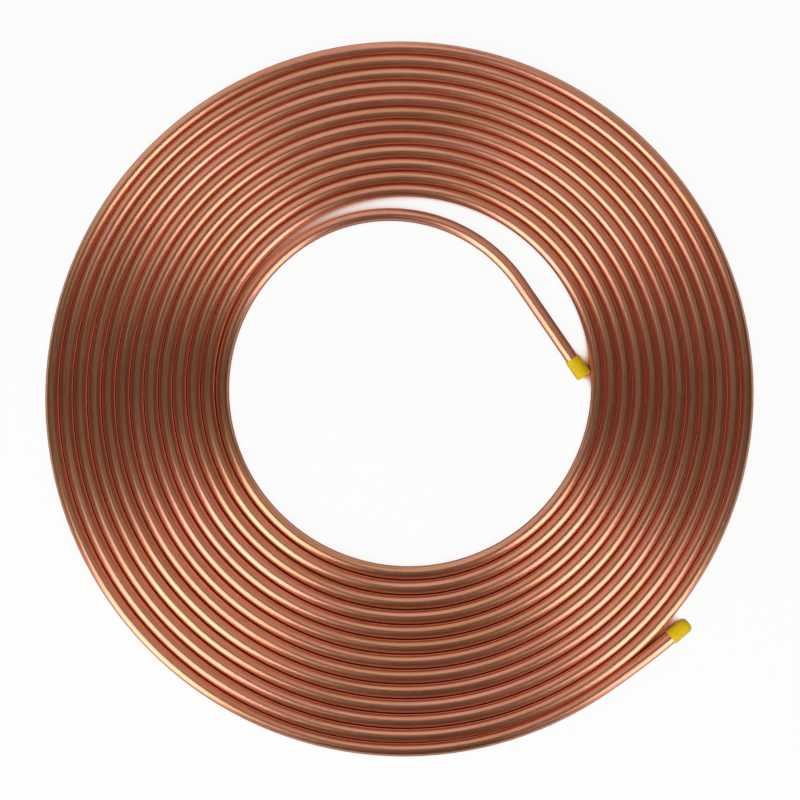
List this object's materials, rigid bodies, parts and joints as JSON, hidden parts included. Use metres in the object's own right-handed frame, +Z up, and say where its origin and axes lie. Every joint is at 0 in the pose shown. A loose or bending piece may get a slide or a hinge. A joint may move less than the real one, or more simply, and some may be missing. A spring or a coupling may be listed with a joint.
{
  "type": "copper tube coil",
  "caption": "Flat pancake coil of soft copper tube, wound loosely on one side, with a push-on plastic cap closing each end.",
  "frame": {"origin": "on the floor under the middle of the coil's box", "axes": "+Z up through the eye of the coil, +Y towards the top of the picture, +X towards its right"},
  "size_m": [0.5274, 0.5324, 0.0117],
  "materials": {
    "copper": "drawn, bright",
    "cap_plastic": "soft vinyl"
  },
  "bodies": {
    "root": {"copper_tube": "copper", "inner_end_cap": "cap_plastic", "outer_end_cap": "cap_plastic"}
  },
  "joints": []
}
